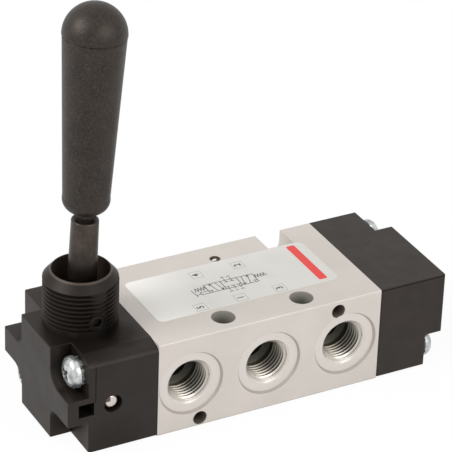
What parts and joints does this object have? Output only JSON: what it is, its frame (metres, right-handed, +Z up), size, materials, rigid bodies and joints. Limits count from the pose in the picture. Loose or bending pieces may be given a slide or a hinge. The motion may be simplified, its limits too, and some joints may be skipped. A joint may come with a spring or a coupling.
{
  "type": "hand lever air valve",
  "caption": "Hand lever spool valve: metal body with threaded ports on two sides, plastic end pieces, threaded panel collar and an upright lever with a tapered grip.",
  "frame": {"origin": "centre of the metal body's underside", "axes": "+X along the spool towards the plain end cap, -Y out of ports 5, 1 and 3, +Z up towards the lever's grip"},
  "size_m": [0.0897, 0.032, 0.0944],
  "materials": {
    "body_aluminium": "satin anodised",
    "housing_plastic": "fine moulded grain",
    "cap_plastic": "fine moulded grain",
    "handle_plastic": "mottled moulded finish",
    "dark_steel": "turned and blackened",
    "zinc_steel": "zinc plated",
    "bright_steel": "ground bright",
    "seal_rubber": "matte",
    "spool_aluminium": "turned",
    "spring_steel": "drawn wire",
    "label_film": "printed film"
  },
  "bodies": {
    "root": {"valve_body": "body_aluminium", "operator_housing": "housing_plastic", "end_cap": "cap_plastic", "operator_gasket": "seal_rubber", "end_cap_gasket": "seal_rubber", "operator_screws": "zinc_steel", "operator_washers": "zinc_steel", "end_cap_screws": "zinc_steel", "end_cap_washers": "zinc_steel", "stop_pin": "bright_steel", "pivot_pin": "dark_steel", "left_spring": "spring_steel", "right_spring": "spring_steel", "label_plate": "label_film", "passage_ball": "bright_steel"},
    "lever": {"lever_shank": "dark_steel", "lever_rod": "dark_steel", "handle_stud": "dark_steel", "lever_handle": "handle_plastic"},
    "spool_slide": {"spool": "spool_aluminium", "spool_seals": "seal_rubber", "spool_yoke": "dark_steel", "left_spring_seat": "zinc_steel", "right_spring_seat": "zinc_steel"}
  },
  "joints": [
    {"name": "lever_hinge", "type": "hinge", "parent": "root", "child": "lever", "pos_m": [-0.03685, 0, 0.02605], "axis": [0, 1, 0], "range_deg": [-13, 13]},
    {"name": "spool_travel", "type": "slide", "parent": "root", "child": "spool_slide", "axis": [1, 0, 0], "range_m": [-0.00232, 0.00232], "stiffness_N_per_m": 3400, "deforming": ["left_spring", "right_spring"]}
  ],
  "couplings": [
    {"joint": "lever_hinge", "follows": "spool_travel", "rad_per_m": -97.561}
  ]
}
